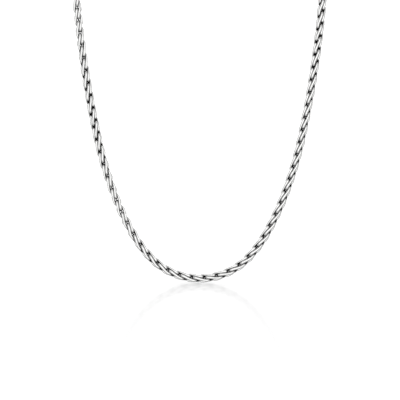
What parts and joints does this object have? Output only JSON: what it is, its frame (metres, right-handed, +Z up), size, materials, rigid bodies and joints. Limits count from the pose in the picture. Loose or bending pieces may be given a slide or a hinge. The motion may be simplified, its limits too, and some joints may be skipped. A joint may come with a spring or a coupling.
{
  "type": "wheat chain necklace",
  "caption": "Polished metal wheat chain of twisted oval links that interlock, hanging in a deep U at the front and closed behind the neck by a plain clasp.",
  "frame": {"origin": "midway between the two sides of the chain, where it starts round the back of the neck, at the mount neck_seat", "axes": "+Z up along the neck, -Y towards the front of the chain, +X to the right in the front view"},
  "size_m": [0.1208, 0.0811, 0.1578],
  "materials": {
    "chain": "bright polished silver",
    "clasp": "bright polished silver"
  },
  "bodies": {
    "root": {"chain_left": "chain", "chain_right": "chain", "clasp": "clasp"}
  },
  "joints": []
}
